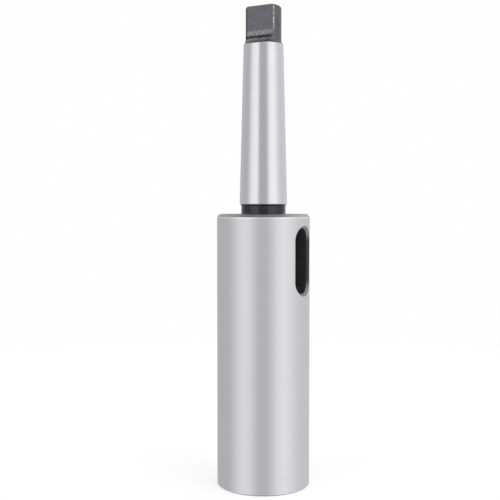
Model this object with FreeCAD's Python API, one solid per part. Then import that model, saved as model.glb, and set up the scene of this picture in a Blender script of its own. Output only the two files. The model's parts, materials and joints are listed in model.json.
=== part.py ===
"""Morse taper extension sleeve: number 3 shank outside, number 4 socket inside.

The real part is turned from one steel bar, slotted, milled at the tang, hardened and ground,
so it is one solid. Row frame, millimetres: the origin is the centre of the socket's mouth, in
the plane of the end face that the sleeve stands on. +Z runs up the common axis to the tang.
+X runs along the drift slot, and the tang's flats face +Y and -Y.
"""

import math
import os

import FreeCAD
import Part

V = FreeCAD.Vector

# Holder body: the plain cylinder round the socket
BODY_DIAMETER = 47.0
BODY_LENGTH = 138.0
BODY_TOP_CHAMFER = 1.4
BODY_BASE_CHAMFER = 0.5

# Neck between the body and the shank, left as turned
NECK_DIAMETER = 22.5
NECK_LENGTH = 5.0
NECK_ROOT_RADIUS = 0.5

# Shank: number 3 taper with a tang, ISO 296
SHANK_GAUGE_DIAMETER = 23.825
SHANK_TAPER = 1 / 19.922
SHANK_STANDOUT = 5.0  # gauge plane down to the cone's large end
SHANK_GAUGE_LENGTH = 94.0  # gauge plane up to the end of the tang
SHANK_HEEL_ANGLE = 40.0  # turned bevel from the cone's large end down to the neck, from the axis
SHANK_SHOULDER_ANGLE = 30.0  # turned bevel from its small end up to the tang, from the axis
SHANK_EDGE_BREAK = 0.15  # polished edge breaks of the cone, radial
SHANK_EDGE_BREAK_LENGTH = 0.6

# Tang: turned spigot with two milled flats
TANG_DIAMETER = 18.0
TANG_LENGTH = 19.1  # end of the tang down to the small end of the ground cone
TANG_THICKNESS = 7.9
TANG_FLAT_LENGTH = 12.5
TANG_CUTTER_RADIUS = 7.0  # the side of the milling cutter leaves this radius below each flat
TANG_END_RADIUS = 1.6

# Centre hole in the end of the tang, on which the sleeve was ground
CENTRE_HOLE_DIAMETER = 2.0
CENTRE_HOLE_DEPTH = 4.2
CENTRE_CONE_DIAMETER = 4.25
CENTRE_CONE_ANGLE = 60.0

# Socket: number 4 taper with a relief bore past the cone, ISO 296
SOCKET_GAUGE_DIAMETER = 31.267  # at the end face
SOCKET_TAPER = 1 / 19.254
SOCKET_RELIEF_DIAMETER = 26.5
SOCKET_DEPTH = 107.0
SOCKET_MOUTH_CHAMFER = 0.8
DRILL_POINT_ANGLE = 118.0

# Drift slot: runs right through the body, across the socket's inner end
SLOT_START = 98.5  # end face up to the slot's near end
SLOT_LENGTH = 32.5
SLOT_WIDTH = 12.2
SLOT_CHAMFER = 1.3

CUT_OVERRUN = 5.0  # how far each cutter runs past the metal that it removes
ON_SURFACE = 1e-4  # how near a point lies to the surface that it belongs to

# Levels along the axis, worked out from the sizes above
SHANK_BOTTOM = BODY_LENGTH + NECK_LENGTH
SHANK_GAUGE_PLANE = SHANK_BOTTOM + SHANK_STANDOUT
TANG_END = SHANK_GAUGE_PLANE + SHANK_GAUGE_LENGTH
SHANK_TOP = TANG_END - TANG_LENGTH
SLOT_END = SLOT_START + SLOT_LENGTH

BODY_RADIUS = BODY_DIAMETER / 2
NECK_RADIUS = NECK_DIAMETER / 2
TANG_RADIUS = TANG_DIAMETER / 2


def shank_radius(z):
    """Radius of the ground outer cone at a level."""
    return (SHANK_GAUGE_DIAMETER - (z - SHANK_GAUGE_PLANE) * SHANK_TAPER) / 2


def socket_radius(z):
    """Radius of the ground inner cone at a level."""
    return (SOCKET_GAUGE_DIAMETER - z * SOCKET_TAPER) / 2


def bevel_height(radial_step, angle):
    """Height of a bevel that steps in by this much at this angle from the axis."""
    return radial_step / math.tan(math.radians(angle))


def point(radius, z):
    """A point of a turned profile, which lies in the XZ plane."""
    return V(radius, 0, z)


def lines(*points):
    """Straight edges from each point to the next."""
    return [Part.LineSegment(a, b).toShape() for a, b in zip(points, points[1:])]


def quarter_arc(start, centre, end):
    """A quarter circle from start to end about centre."""
    radius = (start - centre).Length
    middle = centre + ((start - centre) + (end - centre)).normalize() * radius
    return Part.Arc(start, middle, end).toShape()


def turned(edges):
    """The solid of revolution about Z of a closed profile."""
    profile = Part.Face(Part.Wire(Part.__sortEdges__(edges)))
    return profile.revolve(V(0, 0, 0), V(0, 0, 1), 360)


def turned_blank():
    """Body, neck, shank and tang spigot as one turning."""
    heel_radius = shank_radius(SHANK_BOTTOM) - SHANK_EDGE_BREAK
    heel_height = bevel_height(heel_radius - NECK_RADIUS, SHANK_HEEL_ANGLE)
    cone_bottom = SHANK_BOTTOM + SHANK_EDGE_BREAK_LENGTH
    cone_top = SHANK_TOP - SHANK_EDGE_BREAK_LENGTH
    shoulder_radius = shank_radius(SHANK_TOP) - SHANK_EDGE_BREAK
    shoulder_height = bevel_height(shoulder_radius - TANG_RADIUS, SHANK_SHOULDER_ANGLE)

    root_start = point(NECK_RADIUS + NECK_ROOT_RADIUS, BODY_LENGTH)
    root_end = point(NECK_RADIUS, BODY_LENGTH + NECK_ROOT_RADIUS)
    root_centre = point(NECK_RADIUS + NECK_ROOT_RADIUS, BODY_LENGTH + NECK_ROOT_RADIUS)

    crown_start = point(TANG_RADIUS, TANG_END - TANG_END_RADIUS)
    crown_end = point(TANG_RADIUS - TANG_END_RADIUS, TANG_END)
    crown_centre = point(TANG_RADIUS - TANG_END_RADIUS, TANG_END - TANG_END_RADIUS)

    edges = lines(
        point(0, 0),
        point(BODY_RADIUS - BODY_BASE_CHAMFER, 0),
        point(BODY_RADIUS, BODY_BASE_CHAMFER),
        point(BODY_RADIUS, BODY_LENGTH - BODY_TOP_CHAMFER),
        point(BODY_RADIUS - BODY_TOP_CHAMFER, BODY_LENGTH),
        root_start,
    )
    edges.append(quarter_arc(root_start, root_centre, root_end))
    edges += lines(
        root_end,
        point(NECK_RADIUS, SHANK_BOTTOM - heel_height),
        point(heel_radius, SHANK_BOTTOM),
        point(shank_radius(cone_bottom), cone_bottom),
        point(shank_radius(cone_top), cone_top),
        point(shoulder_radius, SHANK_TOP),
        point(TANG_RADIUS, SHANK_TOP + shoulder_height),
        crown_start,
    )
    edges.append(quarter_arc(crown_start, crown_centre, crown_end))
    edges += lines(crown_end, point(0, TANG_END), point(0, 0))
    return turned(edges)


def tapered_socket():
    """The metal that boring and grinding the socket removes."""
    relief_radius = SOCKET_RELIEF_DIAMETER / 2
    cone_end = (SOCKET_GAUGE_DIAMETER - SOCKET_RELIEF_DIAMETER) / SOCKET_TAPER
    point_height = relief_radius / math.tan(math.radians(DRILL_POINT_ANGLE / 2))
    mouth_radius = socket_radius(0) + SOCKET_MOUTH_CHAMFER
    return turned(
        lines(
            point(0, -CUT_OVERRUN),
            point(mouth_radius, -CUT_OVERRUN),
            point(mouth_radius, 0),
            point(socket_radius(SOCKET_MOUTH_CHAMFER), SOCKET_MOUTH_CHAMFER),
            point(relief_radius, cone_end),
            point(relief_radius, SOCKET_DEPTH),
            point(0, SOCKET_DEPTH + point_height),
            point(0, -CUT_OVERRUN),
        )
    )


def drift_slot():
    """The round-ended slot through the body, along X."""
    end_radius = SLOT_WIDTH / 2
    low = SLOT_START + end_radius
    high = SLOT_END - end_radius
    x = -BODY_RADIUS - CUT_OVERRUN
    low_left, low_right = V(x, -end_radius, low), V(x, end_radius, low)
    high_left, high_right = V(x, -end_radius, high), V(x, end_radius, high)
    outline = [
        Part.Arc(low_left, V(x, 0, SLOT_START), low_right).toShape(),
        Part.LineSegment(low_right, high_right).toShape(),
        Part.Arc(high_right, V(x, 0, SLOT_END), high_left).toShape(),
        Part.LineSegment(high_left, low_left).toShape(),
    ]
    return Part.Face(Part.Wire(outline)).extrude(V(-2 * x, 0, 0))


def chamfer_slot_mouths(solid):
    """Breaks the edges where the slot comes out through the ground cylinder."""

    def on_slot_mouth(edge):
        ends = [edge.valueAt(p) for p in edge.ParameterRange]
        return all(
            abs(math.hypot(p.x, p.y) - BODY_RADIUS) < ON_SURFACE
            and SLOT_START - ON_SURFACE <= p.z <= SLOT_END + ON_SURFACE
            for p in ends
        )

    return solid.makeChamfer(SLOT_CHAMFER, [e for e in solid.Edges if on_slot_mouth(e)])


def tang_flat(side):
    """The metal milled off one side of the tang, +Y for side 1 and -Y for side -1."""
    flat = side * TANG_THICKNESS / 2
    outside = side * (TANG_RADIUS + CUT_OVERRUN)
    centre_y = flat + side * TANG_CUTTER_RADIUS
    flat_end = TANG_END - TANG_FLAT_LENGTH
    x = -TANG_RADIUS - CUT_OVERRUN
    start = V(x, flat, flat_end)
    centre = V(x, centre_y, flat_end)
    lowest = V(x, centre_y, flat_end - TANG_CUTTER_RADIUS)
    beside = V(x, outside, flat_end - TANG_CUTTER_RADIUS)
    top_outside = V(x, outside, TANG_END + CUT_OVERRUN)
    top_flat = V(x, flat, TANG_END + CUT_OVERRUN)
    edges = [quarter_arc(start, centre, lowest)]
    edges += lines(lowest, beside, top_outside, top_flat, start)
    return Part.Face(Part.Wire(edges)).extrude(V(-2 * x, 0, 0))


def centre_hole():
    """The 60 degree centre in the end of the tang, with its pilot hole."""
    pilot_radius = CENTRE_HOLE_DIAMETER / 2
    cone_radius = CENTRE_CONE_DIAMETER / 2
    slope = math.tan(math.radians(CENTRE_CONE_ANGLE / 2))
    cone_depth = (cone_radius - pilot_radius) / slope
    tip_height = pilot_radius / math.tan(math.radians(DRILL_POINT_ANGLE / 2))
    return turned(
        lines(
            point(0, TANG_END - CENTRE_HOLE_DEPTH - tip_height),
            point(pilot_radius, TANG_END - CENTRE_HOLE_DEPTH),
            point(pilot_radius, TANG_END - cone_depth),
            point(cone_radius, TANG_END),
            point(cone_radius, TANG_END + CUT_OVERRUN),
            point(0, TANG_END + CUT_OVERRUN),
            point(0, TANG_END - CENTRE_HOLE_DEPTH - tip_height),
        )
    )


def taper_sleeve():
    """The finished sleeve."""
    sleeve = turned_blank().cut(tapered_socket())
    sleeve = chamfer_slot_mouths(sleeve.cut(drift_slot()))
    for side in (1, -1):
        sleeve = sleeve.cut(tang_flat(side))
    return sleeve.cut(centre_hole())


os.makedirs("parts", exist_ok=True)
sleeve = taper_sleeve()
sleeve.exportStep("parts/taper_sleeve.step")
print("taper_sleeve", len(sleeve.Solids), "solid,", round(sleeve.Volume / 1000, 2), "cm3")
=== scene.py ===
"""Dresses the taper extension sleeve: ground steel outside, heat-blackened tang, neck and slot."""

import json
import math

import bmesh
import bpy
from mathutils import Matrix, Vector


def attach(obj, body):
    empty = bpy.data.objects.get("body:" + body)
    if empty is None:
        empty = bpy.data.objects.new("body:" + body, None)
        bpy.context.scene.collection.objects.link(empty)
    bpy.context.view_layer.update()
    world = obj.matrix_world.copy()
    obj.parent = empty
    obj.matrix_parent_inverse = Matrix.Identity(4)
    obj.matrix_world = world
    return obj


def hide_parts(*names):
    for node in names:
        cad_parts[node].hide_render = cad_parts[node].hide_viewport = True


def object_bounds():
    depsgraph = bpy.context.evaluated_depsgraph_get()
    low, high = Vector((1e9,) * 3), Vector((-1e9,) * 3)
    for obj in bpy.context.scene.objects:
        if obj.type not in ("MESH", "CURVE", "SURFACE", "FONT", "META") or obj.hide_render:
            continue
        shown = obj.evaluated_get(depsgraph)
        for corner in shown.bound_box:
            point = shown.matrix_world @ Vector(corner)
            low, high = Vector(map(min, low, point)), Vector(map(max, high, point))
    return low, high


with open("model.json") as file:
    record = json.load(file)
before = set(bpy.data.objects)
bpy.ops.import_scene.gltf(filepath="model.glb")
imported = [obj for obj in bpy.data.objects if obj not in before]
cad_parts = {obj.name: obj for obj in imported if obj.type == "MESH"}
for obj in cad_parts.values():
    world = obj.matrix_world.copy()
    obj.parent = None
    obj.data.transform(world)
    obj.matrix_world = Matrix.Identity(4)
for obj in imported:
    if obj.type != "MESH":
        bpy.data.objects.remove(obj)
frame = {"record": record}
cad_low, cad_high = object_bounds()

MM = 0.001

# --- Sizes -----------------------------------------------------------------------------------

record = frame["record"]
mounts = {m["name"]: m for m in record["mounts"]}

BODY_RADIUS = cad_high.x
TANG_END = cad_high.z
BODY_TOP = 138 * MM
BODY_TOP_CHAMFER = 1.4 * MM
BODY_BASE_CHAMFER = 0.5 * MM

SHANK_GAUGE_RADIUS = mounts["taper_shank"]["dims"]["r_mm"] * MM
SHANK_GAUGE_PLANE = mounts["taper_shank"]["pos_m"][2]
SHANK_SLOPE = 1 / 19.922 / 2
SHANK_BOTTOM = SHANK_GAUGE_PLANE - 5 * MM
SHANK_TOP = TANG_END - 19.1 * MM
EDGE_BREAK = 0.15 * MM
EDGE_BREAK_LENGTH = 0.6 * MM

NECK_RADIUS = 11.25 * MM
NECK_ROOT_RADIUS = 0.5 * MM
HEEL_SLOPE = math.tan(math.radians(40))
SHOULDER_SLOPE = math.tan(math.radians(30))

TANG_RADIUS = 9.0 * MM
TANG_HALF_THICKNESS = 3.95 * MM
TANG_FLAT_END = TANG_END - 12.5 * MM
TANG_CUTTER_RADIUS = 7.0 * MM
TANG_END_RADIUS = 1.6 * MM
TANG_EDGE_ROUND = 0.3 * MM

CENTRE_CONE_RADIUS = 2.125 * MM
CENTRE_PILOT_RADIUS = 1.0 * MM
CENTRE_DEPTH = 4.2 * MM

SOCKET_MOUTH_RADIUS = mounts["taper_socket"]["dims"]["r_mm"] * MM
SOCKET_SLOPE = 1 / 19.254 / 2
SOCKET_RELIEF_RADIUS = 13.25 * MM
SOCKET_DEPTH = 107 * MM
SOCKET_MOUTH_CHAMFER = 0.8 * MM
DRILL_POINT_SLOPE = math.tan(math.radians(118 / 2))

SLOT_START = 98.5 * MM
SLOT_END = 131.0 * MM
SLOT_HALF_WIDTH = 6.1 * MM
SLOT_CHAMFER = 1.3 * MM

COLUMNS = 288  # faces round the axis
ROW_STEP = 5 * MM  # longest face along the profile
CORNER_ROUND = 0.12 * MM  # honed corners of the turned profile
CORNER_STEPS = 3
HONED_TURN = 18  # degrees: a corner that turns less than this stays as it is
SHARP_ANGLE = 28  # degrees: an edge that folds more than this is shaded sharp
TINY = 1e-6


# --- The turned profile ------------------------------------------------------------------------


def shank_radius(z):
    """Radius of the ground outer cone at a level."""
    return SHANK_GAUGE_RADIUS - (z - SHANK_GAUGE_PLANE) * SHANK_SLOPE


def socket_radius(z):
    """Radius of the ground inner cone at a level."""
    return SOCKET_MOUTH_RADIUS - z * SOCKET_SLOPE


def arc(centre, radius, start, end, steps):
    """Points (r, z) of an arc between two angles in degrees, both ends included."""
    angles = [math.radians(start + (end - start) * i / steps) for i in range(steps + 1)]
    return [(centre[0] + radius * math.cos(a), centre[1] + radius * math.sin(a)) for a in angles]


def turned_corners():
    """Corners (r, z, finish of the stretch that follows) from the socket's inner end round to the tang."""
    point_height = SOCKET_RELIEF_RADIUS / DRILL_POINT_SLOPE
    cone_end = (SOCKET_MOUTH_RADIUS - SOCKET_RELIEF_RADIUS) / SOCKET_SLOPE
    heel_radius = shank_radius(SHANK_BOTTOM) - EDGE_BREAK
    heel_height = (heel_radius - NECK_RADIUS) / HEEL_SLOPE
    shoulder_radius = shank_radius(SHANK_TOP) - EDGE_BREAK
    shoulder_height = (shoulder_radius - TANG_RADIUS) / SHOULDER_SLOPE
    cone_bottom = SHANK_BOTTOM + EDGE_BREAK_LENGTH
    cone_top = SHANK_TOP - EDGE_BREAK_LENGTH
    root_centre = (NECK_RADIUS + NECK_ROOT_RADIUS, BODY_TOP + NECK_ROOT_RADIUS)
    crown_centre = (TANG_RADIUS - TANG_END_RADIUS, TANG_END - TANG_END_RADIUS)
    centre_cone = (CENTRE_CONE_RADIUS - CENTRE_PILOT_RADIUS) / math.tan(math.radians(30))
    centre_tip = CENTRE_DEPTH + CENTRE_PILOT_RADIUS / DRILL_POINT_SLOPE

    corners = [
        (0, SOCKET_DEPTH + point_height, "bore"),
        (SOCKET_RELIEF_RADIUS, SOCKET_DEPTH, "bore"),
        (SOCKET_RELIEF_RADIUS, cone_end, "ground"),
        (socket_radius(SOCKET_MOUTH_CHAMFER), SOCKET_MOUTH_CHAMFER, "ground"),
        (SOCKET_MOUTH_RADIUS + SOCKET_MOUTH_CHAMFER, 0, "ground"),
        (BODY_RADIUS - BODY_BASE_CHAMFER, 0, "turned"),
        (BODY_RADIUS, BODY_BASE_CHAMFER, "ground"),
        (BODY_RADIUS, BODY_TOP - BODY_TOP_CHAMFER, "turned"),
        (BODY_RADIUS - BODY_TOP_CHAMFER, BODY_TOP, "turned"),
    ]
    corners += [(*p, "black") for p in arc(root_centre, NECK_ROOT_RADIUS, 270, 180, 5)]
    corners += [
        (NECK_RADIUS, SHANK_BOTTOM - heel_height, "black"),
        (heel_radius, SHANK_BOTTOM, "ground"),
        (shank_radius(cone_bottom), cone_bottom, "ground"),
        (shank_radius(cone_top), cone_top, "ground"),
        (shoulder_radius, SHANK_TOP, "tang"),
        (TANG_RADIUS, SHANK_TOP + shoulder_height, "tang"),
    ]
    corners += [(*p, "tang") for p in arc(crown_centre, TANG_END_RADIUS, 0, 90, 8)]
    corners += [
        (CENTRE_CONE_RADIUS, TANG_END, "black"),
        (CENTRE_PILOT_RADIUS, TANG_END - centre_cone, "black"),
        (CENTRE_PILOT_RADIUS, TANG_END - CENTRE_DEPTH, "black"),
        (0, TANG_END - centre_tip, "black"),
    ]
    return corners


def turn_of(before, corner, after):
    """Angle in degrees by which the profile turns at a corner."""
    incoming = Vector(corner[:2]) - Vector(before[:2])
    outgoing = Vector(after[:2]) - Vector(corner[:2])
    return math.degrees(incoming.angle(outgoing))


def honed(corners):
    """The profile with a small tangent curve at each crisp corner."""
    out = [corners[0]]
    for before, corner, after in zip(corners, corners[1:], corners[2:]):
        if turn_of(before, corner, after) < HONED_TURN:
            out.append(corner)
            continue
        b, c, a = (Vector(p[:2]) for p in (before, corner, after))
        reach = min(CORNER_ROUND, (b - c).length / 3, (a - c).length / 3)
        enter = c + (b - c).normalized() * reach
        leave = c + (a - c).normalized() * reach
        finish = "ground" if "ground" in (before[2], corner[2]) else corner[2]
        for i in range(CORNER_STEPS + 1):
            t = i / CORNER_STEPS
            p = enter * (1 - t) ** 2 + c * 2 * t * (1 - t) + leave * t**2
            out.append((p.x, p.y, finish if i < CORNER_STEPS else corner[2]))
    out.append(corners[-1])
    return out


def extra_levels():
    """Levels on the outside where the form needs rows: along the milled run-out and the flats' end."""
    swings = [math.radians(90 * i / 30) for i in range(31)]
    levels = [TANG_FLAT_END - TANG_CUTTER_RADIUS * math.sin(s) for s in swings]
    levels += [TANG_FLAT_END + 2 * MM * i for i in range(1, 6)]
    levels += [TANG_END - TANG_EDGE_ROUND * (1 - math.cos(math.radians(15 * i))) for i in range(1, 7)]
    return levels


def with_rows(corners, step):
    """The profile with long stretches divided, and with the extra levels set into the outside."""
    out = []
    levels = extra_levels()
    for start, end in zip(corners, corners[1:]):
        a, b = Vector(start[:2]), Vector(end[:2])
        count = max(1, math.ceil((b - a).length / step))
        shares = {i / count for i in range(count)}
        rising = b.y - a.y
        outside = min(a.x, b.x) > CENTRE_CONE_RADIUS * 1.5
        if outside and rising > TINY:
            shares |= {(z - a.y) / rising for z in levels if a.y + TINY < z < b.y - TINY}
        out += [(*a.lerp(b, share), start[2]) for share in sorted(shares)]
    out.append(corners[-1])
    return out


FINISHES = ["ground", "turned", "black", "bore", "tang"]


def profile_object():
    """The turned profile as a line of points in the XZ plane, with each stretch's finish."""
    points = with_rows(honed(turned_corners()), ROW_STEP)
    mesh = bpy.data.meshes.new("turned_profile")
    edges = [(i, i + 1) for i in range(len(points) - 1)]
    mesh.from_pydata([(r, 0, z) for r, z, _ in points], edges, [])
    finish = mesh.attributes.new("finish", "INT", "EDGE")
    for i, (_, _, name) in enumerate(points[:-1]):
        finish.data[i].value = FINISHES.index(name)
    holder = bpy.data.objects.new("sleeve", mesh)
    bpy.context.scene.collection.objects.link(holder)
    return holder


# --- Turning and milling, as a node tree --------------------------------------------------------


class Nodes:
    """Adds nodes to a tree and links them: an input that is a socket is linked, any other is set."""

    def __init__(self, tree):
        self.tree = tree

    def add(self, kind, inputs=(), **settings):
        node = self.tree.nodes.new(kind)
        for name, value in settings.items():
            setattr(node, name, value)
        for key, value in dict(inputs).items():
            self.join(value, node.inputs[key])
        return node

    def join(self, value, socket):
        if isinstance(value, bpy.types.NodeSocket):
            self.tree.links.new(value, socket)
        else:
            socket.default_value = value

    def math(self, operation, a, b=0.0, c=0.0):
        kind = "ShaderNodeMath"
        return self.add(kind, {0: a, 1: b, 2: c}, operation=operation).outputs[0]


MILLING_SIZES = ("Half Thickness", "Flat End", "Cutter Radius", "Edge Round", "Tang End")
CLEARING_SLOPE = 50.0  # past its arc the cutter leaves the shank at once
MERGE_DISTANCE = 1e-6


def milling_group():
    """An empty node tree with its inputs and output, its helper, and the values given to it."""
    tree = bpy.data.node_groups.new("Turn and mill", "GeometryNodeTree")
    face = tree.interface
    face.new_socket("Profile", in_out="INPUT", socket_type="NodeSocketGeometry")
    face.new_socket("Columns", in_out="INPUT", socket_type="NodeSocketInt")
    for name in MILLING_SIZES:
        face.new_socket(name, in_out="INPUT", socket_type="NodeSocketFloat")
    face.new_socket("Sleeve", in_out="OUTPUT", socket_type="NodeSocketGeometry")
    n = Nodes(tree)
    return tree, n, n.add("NodeGroupInput").outputs


def attribute(n, name, data_type):
    """A named attribute's value."""
    return n.add("GeometryNodeInputNamedAttribute", {"Name": name}, data_type=data_type).outputs[0]


def stored(n, geometry, name, value, data_type, domain):
    """The geometry with a value stored under a name."""
    inputs = {"Geometry": geometry, "Name": name, "Value": value}
    return n.add("GeometryNodeStoreNamedAttribute", inputs, data_type=data_type, domain=domain).outputs[0]


def sampled(n, geometry, value, index, data_type, domain):
    """The value that the geometry has at an index."""
    inputs = {"Geometry": geometry, "Value": value, "Index": index}
    return n.add("GeometryNodeSampleIndex", inputs, data_type=data_type, domain=domain).outputs[0]


def arc_height(n, radius, along):
    """Height of a circle's arc above its middle, at a distance along the radius."""
    squares = n.math("SUBTRACT", n.math("MULTIPLY", radius, radius), n.math("MULTIPLY", along, along))
    return n.math("SQRT", n.math("MAXIMUM", squares, 0.0))


def milled_half(n, given, level):
    """Half the thickness that the cutter leaves at a level: flat, then out along the cutter's arc."""
    cutter, edge_round = given["Cutter Radius"], given["Edge Round"]
    below = n.math("MAXIMUM", n.math("SUBTRACT", given["Flat End"], level), 0.0)
    reach = n.math("MINIMUM", below, cutter)
    out_of_flat = n.math("SUBTRACT", cutter, arc_height(n, cutter, reach))
    clear = n.math("MULTIPLY", n.math("SUBTRACT", below, reach), CLEARING_SLOPE)
    round_start = n.math("SUBTRACT", given["Tang End"], edge_round)
    above = n.math("MAXIMUM", n.math("SUBTRACT", level, round_start), 0.0)
    off_end = n.math("SUBTRACT", edge_round, arc_height(n, edge_round, above))
    flat = n.math("ADD", n.math("ADD", given["Half Thickness"], out_of_flat), clear)
    return n.math("SUBTRACT", flat, off_end)


def with_finishes(n, solid, finishes):
    """Gives each face the material of its stretch, and the last one to all that the cutter touched."""
    finish = attribute(n, "finish", "INT")
    milled = attribute(n, "milled", "FLOAT")
    for index, material in enumerate(finishes):
        chosen = n.math("COMPARE", finish, float(index), 0.5)
        if index == len(finishes) - 1:
            chosen = n.math("MAXIMUM", chosen, n.math("GREATER_THAN", milled, 0.5))
        inputs = {"Geometry": solid, "Selection": chosen, "Material": material}
        solid = n.add("GeometryNodeSetMaterial", inputs).outputs[0]
    return solid


def turning_tree(finishes):
    """Turns a profile about Z, mills the tang's two flats, and sets the finish of each face."""
    tree, n, given = milling_group()

    # a grid with one row for each profile point and one column for each step round the axis
    size = n.add("GeometryNodeAttributeDomainSize", {"Geometry": given["Profile"]}, component="MESH")
    rows = size.outputs["Point Count"]
    columns = n.math("ADD", given["Columns"], 1)
    grid_size = {"Size X": 1.0, "Size Y": 1.0, "Vertices X": columns, "Vertices Y": rows}
    grid = n.add("GeometryNodeMeshGrid", grid_size).outputs["Mesh"]
    position = n.add("GeometryNodeInputPosition").outputs[0]
    place = n.add("ShaderNodeSeparateXYZ", {0: position}).outputs
    last_row = n.math("SUBTRACT", rows, 1)
    row_place = n.math("MULTIPLY", n.math("ADD", place["Y"], 0.5), last_row)

    # the stretch's finish goes onto the faces first, while the grid is still flat
    given_finish = attribute(n, "finish", "INT")
    stretch = sampled(n, given["Profile"], given_finish, n.math("FLOOR", row_place), "INT", "EDGE")
    marked = stored(n, grid, "finish", stretch, "INT", "FACE")

    # each vertex takes its row's radius and level, and its column's angle
    row = n.math("ROUND", row_place)
    point = sampled(n, given["Profile"], position, row, "FLOAT_VECTOR", "POINT")
    profile = n.add("ShaderNodeSeparateXYZ", {0: point}).outputs
    radius, level = profile["X"], profile["Z"]
    angle = n.math("MULTIPLY", n.math("ADD", place["X"], 0.5), -2 * math.pi)
    x = n.math("MULTIPLY", radius, n.math("COSINE", angle))
    y = n.math("MULTIPLY", radius, n.math("SINE", angle))

    # the cutter brings both sides in to its own half thickness, with softened edges
    half = milled_half(n, given, level)
    size_y = n.math("ABSOLUTE", y)
    kept = n.math("SMOOTH_MIN", size_y, half, given["Edge Round"])
    milled_y = n.math("MULTIPLY", n.math("SIGN", y), kept)
    where = n.add("ShaderNodeCombineXYZ", {"X": x, "Y": milled_y, "Z": level}).outputs[0]
    touched = stored(n, marked, "milled", n.math("GREATER_THAN", size_y, half), "FLOAT", "POINT")
    turned = n.add("GeometryNodeSetPosition", {"Geometry": touched, "Position": where}).outputs[0]

    merge = {"Geometry": turned, "Distance": MERGE_DISTANCE}
    closed = n.add("GeometryNodeMergeByDistance", merge).outputs[0]
    solid = n.add("GeometryNodeRealizeInstances", {"Geometry": closed}).outputs[0]
    n.join(with_finishes(n, solid, finishes), n.add("NodeGroupOutput").inputs[0])
    return tree


def set_inputs(modifier, values):
    """Sets a node modifier's inputs by their names in the tree's interface."""
    for item in modifier.node_group.interface.items_tree:
        if item.item_type == "SOCKET" and item.in_out == "INPUT" and item.name in values:
            modifier[item.identifier] = values[item.name]


# --- The drift slot's cutter --------------------------------------------------------------------


def slot_outline(offset, steps=28):
    """Points (y, z) round the slot's outline, grown outwards by an offset."""
    radius = SLOT_HALF_WIDTH + offset
    low, high = SLOT_START + SLOT_HALF_WIDTH, SLOT_END - SLOT_HALF_WIDTH
    upper = arc((0, high), radius, 0, 180, steps)
    lower = arc((0, low), radius, 180, 360, steps)
    return upper + lower


def slot_cutter(chamfer, wall):
    """A closed cutter through the body along X, which flares at both ends to chamfer the mouths."""
    beyond = 2 * SLOT_CHAMFER
    loops = []
    for side in (1, -1):
        far = side * (BODY_RADIUS + 2 * beyond)
        mouth = [[(far, y, z) for y, z in slot_outline(beyond + SLOT_CHAMFER)]]
        for depth in (-beyond, 0, SLOT_CHAMFER):
            outline = slot_outline(SLOT_CHAMFER - depth)
            surface = [math.sqrt(BODY_RADIUS**2 - y * y) for y, _ in outline]
            mouth.append([(side * (s - depth), y, z) for s, (y, z) in zip(surface, outline)])
        loops += mouth if side > 0 else mouth[::-1]
    count = len(loops[0])
    faces = [tuple(range(count)), tuple(reversed(range((len(loops) - 1) * count, len(loops) * count)))]
    for k in range(len(loops) - 1):
        for i in range(count):
            j = (i + 1) % count
            faces.append((k * count + i, (k + 1) * count + i, (k + 1) * count + j, k * count + j))
    mesh = bpy.data.meshes.new("slot_cutter")
    mesh.from_pydata([p for loop in loops for p in loop], [], faces)
    mesh.materials.append(chamfer)
    mesh.materials.append(wall)
    for polygon in mesh.polygons:
        polygon.material_index = int(abs(polygon.normal.x) < 0.1)
    cutter = bpy.data.objects.new("slot_cutter", mesh)
    bpy.context.scene.collection.objects.link(cutter)
    return cutter


def evaluated_mesh(obj, name):
    """A plain mesh of an object with its modifiers applied."""
    graph = bpy.context.evaluated_depsgraph_get()
    graph.update()
    mesh = bpy.data.meshes.new_from_object(obj.evaluated_get(graph))
    mesh.name = name
    return mesh


def outward(mesh):
    """Turns every face of a closed mesh to point outwards."""
    work = bmesh.new()
    work.from_mesh(mesh)
    bmesh.ops.recalc_face_normals(work, faces=work.faces)
    work.to_mesh(mesh)
    work.free()


def make_sleeve(ground, turned, scale, bore, tang, chamfer):
    """The finished sleeve as one plain mesh."""
    sleeve = profile_object()
    mill = sleeve.modifiers.new("turn and mill", "NODES")
    mill.node_group = turning_tree([ground, turned, scale, bore, tang])
    set_inputs(
        mill,
        {
            "Columns": COLUMNS,
            "Half Thickness": TANG_HALF_THICKNESS,
            "Flat End": TANG_FLAT_END,
            "Cutter Radius": TANG_CUTTER_RADIUS,
            "Edge Round": TANG_EDGE_ROUND,
            "Tang End": TANG_END,
        },
    )
    blank = evaluated_mesh(sleeve, "sleeve_blank")
    sleeve.modifiers.clear()
    sleeve.data = blank
    outward(blank)

    cutter = slot_cutter(chamfer, bore)
    outward(cutter.data)
    slot = sleeve.modifiers.new("drift slot", "BOOLEAN")
    slot.operation = "DIFFERENCE"
    slot.solver = "MANIFOLD"
    slot.material_mode = "TRANSFER"
    slot.object = cutter
    body = evaluated_mesh(sleeve, "sleeve_slotted")
    sleeve.modifiers.clear()
    bpy.data.objects.remove(cutter)
    sleeve.data = body

    body.shade_smooth()
    body.set_sharp_from_angle(angle=math.radians(SHARP_ANGLE))
    sleeve.modifiers.new("flat faces rule", "WEIGHTED_NORMAL").keep_sharp = True
    sleeve.data = evaluated_mesh(sleeve, "sleeve")
    sleeve.modifiers.clear()
    return sleeve


# --- Finishes ------------------------------------------------------------------------------------

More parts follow.
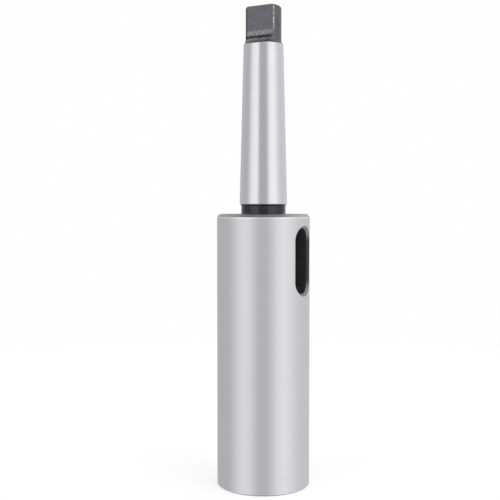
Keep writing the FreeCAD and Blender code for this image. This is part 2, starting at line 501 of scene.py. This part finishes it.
GROUND_GREYS = (0.645, 0.65, 0.675), (0.715, 0.715, 0.74)
# painted highlight: the bright line where the body's top edge catches the light
GROUND_EDGE_HIGHLIGHT = (0.93, 0.93, 0.94)
TURNED_GREYS = (0.38, 0.38, 0.4), (0.55, 0.55, 0.57)
SCALE_BLACKS = (0.017, 0.017, 0.019), (0.086, 0.086, 0.091)
BORE_BLACKS = (0.025, 0.023, 0.023), (0.065, 0.061, 0.059)
CHAMFER_GREYS = (0.045, 0.045, 0.047), (0.3, 0.3, 0.31)
TANG_BLUES = (0.1, 0.1, 0.105), (0.19, 0.19, 0.225)
TANG_STREAK = (0.09, 0.09, 0.095)
# painted highlight, painted shade and painted reflection on the milled run-out
TANG_TORN_HIGHLIGHT = (0.34, 0.34, 0.35)
TANG_PAINTED_SHADE = (0.025, 0.025, 0.027)
TANG_FOOT_REFLECTION = (0.5, 0.5, 0.51)
# painted shade beside two of the tang's upright edges
TANG_EDGE_SHADE = (0.05, 0.05, 0.055)
TANG_WORN = (0.55, 0.55, 0.56)

FACE_RING_SHARE = 1.3  # how much the radius counts beside the level, so that faces get rings too


def material(name, metallic=1.0):
    """A new node material, with its helper and its shader."""
    made = bpy.data.materials.new(name)
    made.use_nodes = True
    shader = made.node_tree.nodes["Principled BSDF"]
    shader.inputs["Metallic"].default_value = metallic
    return made, Nodes(made.node_tree), shader


def object_place(n):
    """The place on the object, as a vector and as X, Y and Z."""
    place = n.add("ShaderNodeTexCoord").outputs["Object"]
    return place, n.add("ShaderNodeSeparateXYZ", {0: place}).outputs


def length_of(n, x, y):
    """Length of a flat vector."""
    flat = n.add("ShaderNodeCombineXYZ", {"X": x, "Y": y}).outputs[0]
    return n.add("ShaderNodeVectorMath", {0: flat}, operation="LENGTH").outputs["Value"]


def stretched(n, place, across, along):
    """A place scaled by one factor across the axis and by another along it."""
    scales = {0: place, 1: (across, across, along)}
    return n.add("ShaderNodeVectorMath", scales, operation="MULTIPLY").outputs[0]


def product(n, first, *others):
    """Several values multiplied together."""
    for other in others:
        first = n.math("MULTIPLY", first, other)
    return first


def noise(n, place, scale, detail, roughness=0.5):
    """Soft random patches between 0 and 1."""
    inputs = {"Vector": place, "Scale": scale, "Detail": detail, "Roughness": roughness}
    return n.add("ShaderNodeTexNoise", inputs).outputs["Fac"]


def ramp(n, value, low, high):
    """A value spread from 0..1 to low..high."""
    return n.add("ShaderNodeMapRange", {"Value": value, "To Min": low, "To Max": high}).outputs[0]


def span(n, value, start, end, low=0.0, high=1.0):
    """Runs smoothly from low to high as a value goes from start to end."""
    inputs = {"Value": value, "From Min": start, "From Max": end, "To Min": low, "To Max": high}
    return n.add("ShaderNodeMapRange", inputs, interpolation_type="SMOOTHSTEP").outputs[0]


def mixed(n, factor, first, second):
    """A colour between two, each a socket or given as (red, green, blue)."""
    mix = n.add("ShaderNodeMix", {"Factor": factor}, data_type="RGBA")
    for name, colour in (("A", first), ("B", second)):
        n.join(colour if isinstance(colour, bpy.types.NodeSocket) else (*colour, 1), mix.inputs[name])
    return mix.outputs["Result"]


def roughened(n, shader, height, strength, distance):
    """Gives the shader a bump from a height."""
    bump = n.add("ShaderNodeBump", {"Height": height, "Strength": strength, "Distance": distance})
    n.join(bump.outputs[0], shader.inputs["Normal"])


def lathe_lines(n, pitch, round_scale):
    """Fine rings about the axis: they follow the level on the sides and the radius on the faces."""
    _, xyz = object_place(n)
    radius = length_of(n, xyz["X"], xyz["Y"])
    along = n.math("ADD", xyz["Z"], n.math("MULTIPLY", radius, FACE_RING_SHARE))
    x, y = (n.math("MULTIPLY", xyz[name], round_scale) for name in "XY")
    z = n.math("MULTIPLY", along, 1 / pitch)
    rings = n.add("ShaderNodeCombineXYZ", {"X": x, "Y": y, "Z": z}).outputs[0]
    return noise(n, rings, 1.0, 2.0, 0.6)


def ground_steel():
    """Hardened steel, cylindrically ground: very fine rings, and a painted highlight along the body's top
    edge.
    """
    made, n, shader = material("ground steel")
    fine = lathe_lines(n, 0.22 * MM, 90.0)
    coarse = lathe_lines(n, 0.7 * MM, 40.0)
    place, xyz = object_place(n)
    cloud = noise(n, place, 60.0, 3.0)

    on_shank = n.math("GREATER_THAN", xyz["Z"], BODY_TOP)
    rough = n.math("SUBTRACT", ramp(n, cloud, 0.45, 0.51), n.math("MULTIPLY", on_shank, 0.25))
    n.join(n.math("ADD", rough, ramp(n, fine, -0.03, 0.03)), shader.inputs["Roughness"])

    # painted highlight: a bright band just below the top chamfer, where the edge catches the light
    edge = BODY_TOP - BODY_TOP_CHAMFER
    near_edge = span(n, xyz["Z"], edge - 0.8 * MM, edge - 0.3 * MM)
    painted_edge_highlight = product(n, near_edge, n.math("LESS_THAN", xyz["Z"], BODY_TOP), 0.65)
    steel = mixed(n, coarse, *GROUND_GREYS)
    n.join(mixed(n, painted_edge_highlight, steel, GROUND_EDGE_HIGHLIGHT), shader.inputs["Base Color"])

    roughened(n, shader, fine, 0.12, 0.01 * MM)
    shader.inputs["Anisotropic"].default_value = 0.4
    shader.inputs["Anisotropic Rotation"].default_value = 0.25
    tangent = n.add("ShaderNodeTangent", direction_type="RADIAL", axis="Z").outputs[0]
    n.join(tangent, shader.inputs["Tangent"])
    return made


def turned_steel():
    """Steel left as turned on the body's top face and chamfers: darker, with coarser rings."""
    made, n, shader = material("turned steel")
    rings = lathe_lines(n, 0.25 * MM, 20.0)
    n.join(ramp(n, rings, 0.25, 0.38), shader.inputs["Roughness"])
    n.join(mixed(n, rings, *TURNED_GREYS), shader.inputs["Base Color"])
    roughened(n, shader, rings, 0.3, 0.02 * MM)
    return made


def black_scale():
    """Turned steel blackened by heat treatment: neck, heel and centre hole."""
    made, n, shader = material("heat-blackened steel")
    rings = lathe_lines(n, 0.45 * MM, 12.0)
    n.join(mixed(n, rings, *SCALE_BLACKS), shader.inputs["Base Color"])
    n.join(ramp(n, rings, 0.1, 0.2), shader.inputs["Roughness"])
    roughened(n, shader, rings, 0.5, 0.02 * MM)
    return made


def bore_scale():
    """Matt brown-black scale inside the relief bore and on the slot's walls."""
    made, n, shader = material("matt bore scale", metallic=0.0)
    place, _ = object_place(n)
    cloud = noise(n, place, 320.0, 4.0)
    n.join(mixed(n, cloud, *BORE_BLACKS), shader.inputs["Base Color"])
    n.join(ramp(n, cloud, 0.55, 0.75), shader.inputs["Roughness"])
    roughened(n, shader, cloud, 0.4, 0.05 * MM)
    return made


def chamfer_steel():
    """The slot's chamfer: dark on its long sides, lighter round its ends."""
    made, n, shader = material("slot chamfer steel")
    place, xyz = object_place(n)
    middle = (SLOT_START + SLOT_END) / 2
    off_middle = n.math("ABSOLUTE", n.math("SUBTRACT", xyz["Z"], middle))
    ends = span(n, off_middle, 9 * MM, 17 * MM)
    n.join(mixed(n, ends, *CHAMFER_GREYS), shader.inputs["Base Color"])
    n.join(ramp(n, noise(n, place, 900.0, 3.0), 0.25, 0.45), shader.inputs["Roughness"])
    return made


def below_flat(n, level, start, end):
    """Runs from 0 to 1 as a level goes between two heights in mm from the end of the flats."""
    return span(n, level, TANG_FLAT_END + start * MM, TANG_FLAT_END + end * MM)


def run_out_bands(n, skin, place, level, radius, grain):
    """The cutter's run-out on the milled metal: a band the cutter tore, lightened by a painted highlight,
    a band of painted shade below it, and a lighter painted reflection lower down.
    """
    milled = span(n, radius, TANG_RADIUS - 0.1 * MM, TANG_RADIUS - 0.4 * MM)
    chatter = noise(n, stretched(n, place, 1300.0, 320.0), 1.0, 3.0)
    unevenness = n.math("MULTIPLY", n.math("SUBTRACT", grain, 0.5), 2.4 * MM)
    ragged = n.math("ADD", level, unevenness)

    # painted highlight: the concave run-out just below the flats, lit from above; the chatter speckle in
    # it is the metal's own
    torn_sheen_band = product(n, below_flat(n, ragged, 0.3, -0.4), below_flat(n, ragged, -2.6, -2.1), milled)
    skin = mixed(n, product(n, torn_sheen_band, span(n, chatter, 0.35, 0.65, 0.2, 0.85)), skin, TANG_TORN_HIGHLIGHT)
    # painted shade: a dark band below the lit one
    shaded = product(n, below_flat(n, ragged, -2.2, -2.7), below_flat(n, ragged, -4.2, -3.6), milled)
    skin = mixed(n, product(n, shaded, span(n, chatter, 0.35, 0.6, 0.9, 0.55)), skin, TANG_PAINTED_SHADE)
    # painted reflection: a lighter band at the lower end of the run-out
    foot_reflection = product(n, below_flat(n, ragged, -3.8, -4.3), milled, 0.8)
    return mixed(n, foot_reflection, skin, TANG_FOOT_REFLECTION), n.math("ADD", torn_sheen_band, shaded)


def edge_shade_and_wear(n, skin, xyz, grain, cloud):
    """Painted shade beside two of the upright edges, and bright wear along the other two and round the
    end.
    """
    edge_x = math.sqrt(TANG_RADIUS**2 - TANG_HALF_THICKNESS**2)
    off_x = n.math("SUBTRACT", n.math("ABSOLUTE", xyz["X"]), edge_x)
    off_y = n.math("SUBTRACT", n.math("ABSOLUTE", xyz["Y"]), TANG_HALF_THICKNESS)
    away = length_of(n, off_x, off_y)
    rubbed_pair = n.math("LESS_THAN", n.math("MULTIPLY", xyz["X"], xyz["Y"]), 0.0)
    other_pair = n.math("SUBTRACT", 1.0, rubbed_pair)
    # painted shade: darker strips beside the two upright edges away from the worn pair
    skin = mixed(n, product(n, span(n, away, 1.7 * MM, 0.3 * MM), other_pair, 0.6), skin, TANG_EDGE_SHADE)

    above_flat_end = n.math("GREATER_THAN", xyz["Z"], TANG_FLAT_END)
    share = n.math("MAXIMUM", rubbed_pair, 0.12)
    near = span(n, away, 0.55 * MM, 0.2 * MM)
    upright = product(n, near, span(n, grain, 0.38, 0.6), above_flat_end, share)
    near_end = span(n, xyz["Z"], TANG_END - 0.35 * MM, TANG_END - 0.1 * MM)
    rim = product(n, near_end, span(n, cloud, 0.35, 0.55), 0.6)
    return mixed(n, n.math("MAXIMUM", upright, rim), skin, TANG_WORN)


def tang_steel():
    """The tang's dark skin: bluish and patchy, rough at the run-out with painted highlight, shade and
    reflection bands there, painted shade beside two of its edges, and worn bright along its edges.
    """
    made, n, shader = material("blued tang steel")
    place, xyz = object_place(n)
    radius = length_of(n, xyz["X"], xyz["Y"])
    cloud = noise(n, place, 260.0, 5.0)
    streaks = noise(n, stretched(n, place, 350.0, 2600.0), 1.0, 3.0)
    grain = noise(n, place, 1100.0, 3.0)

    skin = mixed(n, cloud, *TANG_BLUES)
    skin = mixed(n, span(n, streaks, 0.5, 0.75, 0.0, 0.6), skin, TANG_STREAK)
    skin, rough_bands = run_out_bands(n, skin, place, xyz["Z"], radius, grain)
    skin = edge_shade_and_wear(n, skin, xyz, grain, cloud)
    n.join(skin, shader.inputs["Base Color"])
    n.join(ramp(n, cloud, 0.3, 0.42), shader.inputs["Roughness"])
    roughened(n, shader, n.math("ADD", streaks, n.math("MULTIPLY", grain, rough_bands)), 0.35, 0.04 * MM)
    return made


# --- Floor, surround and camera -------------------------------------------------------------------

VIEW_AZIMUTH = math.radians(30.0)

FLOOR_RADIUS = 0.5
FLOOR_ALBEDO = 0.86
FLOOR_LIFT = 0.45  # glow that only the eye sees, so that the floor stays white round the shadow

# brightness of the tent's wall by heading from the camera in degrees, and of its roof by elevation
WALL_LEVEL = 1.4
WALL_STOPS = [
    (-180, 0.45), (-150, 0.46), (-125, 0.46), (-102, 0.43), (-86, 0.45), (-58, 0.81), (-36, 0.89),
    (-27, 0.78), (-20, 0.41), (0, 0.41), (19, 0.44), (27, 0.78), (38, 0.88), (58, 0.9), (80, 0.68),
    (98, 0.58), (118, 0.58), (150, 0.58), (180, 0.45),
]
ROOF_STOPS = [(0, 1.0), (50, 1.0), (68, 0.4), (90, 0.35)]

SENSOR_WIDTH = 36
LENS = 66.9
CAMERA_DISTANCE = 471.5 * MM
CAMERA_HEIGHT = SHANK_BOTTOM + 1 * MM
CAMERA_TILT = 2.949  # degrees downwards
CAMERA_YAW = 0.825  # degrees to the left


def floor():
    """A plain white floor that stays white to the eye and keeps the sleeve's soft shadow."""
    made, n, shader = material("white floor", metallic=0.0)
    shader.inputs["Base Color"].default_value = (FLOOR_ALBEDO, FLOOR_ALBEDO, FLOOR_ALBEDO, 1)
    shader.inputs["Roughness"].default_value = 0.9
    path = n.add("ShaderNodeLightPath").outputs
    mirrored = n.math("MAXIMUM", path["Is Glossy Ray"], path["Is Transmission Ray"])
    seen = n.math("MAXIMUM", path["Is Camera Ray"], mirrored)
    n.join(n.math("MULTIPLY", seen, FLOOR_LIFT), shader.inputs["Emission Strength"])
    shader.inputs["Emission Color"].default_value = (1, 1, 1, 1)
    mesh = bpy.data.meshes.new("floor")
    rim = [(x, y, 0) for x, y in arc((0, 0), FLOOR_RADIUS, 0, 354, 59)]
    mesh.from_pydata(rim, [], [tuple(range(len(rim)))])
    mesh.materials.append(made)
    disc = bpy.data.objects.new("floor", mesh)
    bpy.context.scene.collection.objects.link(disc)
    disc.visible_glossy = False  # the steel mirrors the tent below the floor line, as it does above


def fill_ramp(color_ramp, stops):
    """Fills a colour ramp with grey stops (place, brightness)."""
    color_ramp.interpolation = "EASE"
    while len(color_ramp.elements) > 1:
        color_ramp.elements.remove(color_ramp.elements[-1])
    for i, (place, grey) in enumerate(stops):
        stop = color_ramp.elements[0] if i == 0 else color_ramp.elements.new(place)
        stop.position = place
        stop.color = (grey, grey, grey, 1)


def surround():
    """The studio tent: white to the eye, and in reflections a pale wall with soft darker gaps."""
    world = bpy.data.worlds.new("studio")
    bpy.context.scene.world = world
    world.use_nodes = True
    n = Nodes(world.node_tree)
    back = world.node_tree.nodes["Background"]
    direction = n.add("ShaderNodeTexCoord").outputs["Generated"]
    xyz = n.add("ShaderNodeSeparateXYZ", {0: direction}).outputs
    heading = n.math("ARCTAN2", xyz["X"], n.math("MULTIPLY", xyz["Y"], -1.0))
    turn = n.math("WRAP", n.math("SUBTRACT", heading, VIEW_AZIMUTH), math.pi, -math.pi)
    wall = n.add("ShaderNodeValToRGB", {"Fac": n.math("ADD", n.math("DIVIDE", turn, 2 * math.pi), 0.5)})
    fill_ramp(wall.color_ramp, [(degrees / 360 + 0.5, grey) for degrees, grey in WALL_STOPS])
    rise = n.math("ARCSINE", n.math("ABSOLUTE", xyz["Z"]))
    roof = n.add("ShaderNodeValToRGB", {"Fac": n.math("DIVIDE", rise, math.pi / 2)})
    fill_ramp(roof.color_ramp, [(degrees / 90, grey) for degrees, grey in ROOF_STOPS])
    tent = product(n, wall.outputs["Color"], roof.outputs["Color"], WALL_LEVEL)
    seen = n.add("ShaderNodeLightPath").outputs["Is Camera Ray"]
    level = n.math("ADD", n.math("MULTIPLY", tent, n.math("SUBTRACT", 1.0, seen)), seen)
    back.inputs["Color"].default_value = (1, 1, 1, 1)
    n.join(level, back.inputs["Strength"])


def camera():
    """The camera, level with the neck and in front of the sleeve, to the right of its tang's flat."""
    data = bpy.data.cameras.new("camera")
    data.sensor_width = SENSOR_WIDTH
    data.lens = LENS
    eye = bpy.data.objects.new("camera", data)
    x = math.sin(VIEW_AZIMUTH) * CAMERA_DISTANCE
    y = -math.cos(VIEW_AZIMUTH) * CAMERA_DISTANCE
    eye.location = (x, y, CAMERA_HEIGHT)
    eye.rotation_euler = (math.radians(90 - CAMERA_TILT), 0, VIEW_AZIMUTH + math.radians(CAMERA_YAW))
    bpy.context.scene.collection.objects.link(eye)
    bpy.context.scene.camera = eye


# --- The scene ------------------------------------------------------------------------------------

sleeve = make_sleeve(
    ground_steel(), turned_steel(), black_scale(), bore_scale(), tang_steel(), chamfer_steel()
)
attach(sleeve, "root")
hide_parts("taper_sleeve")

floor()
surround()
camera()
bpy.context.scene.view_settings.view_transform = "Standard"
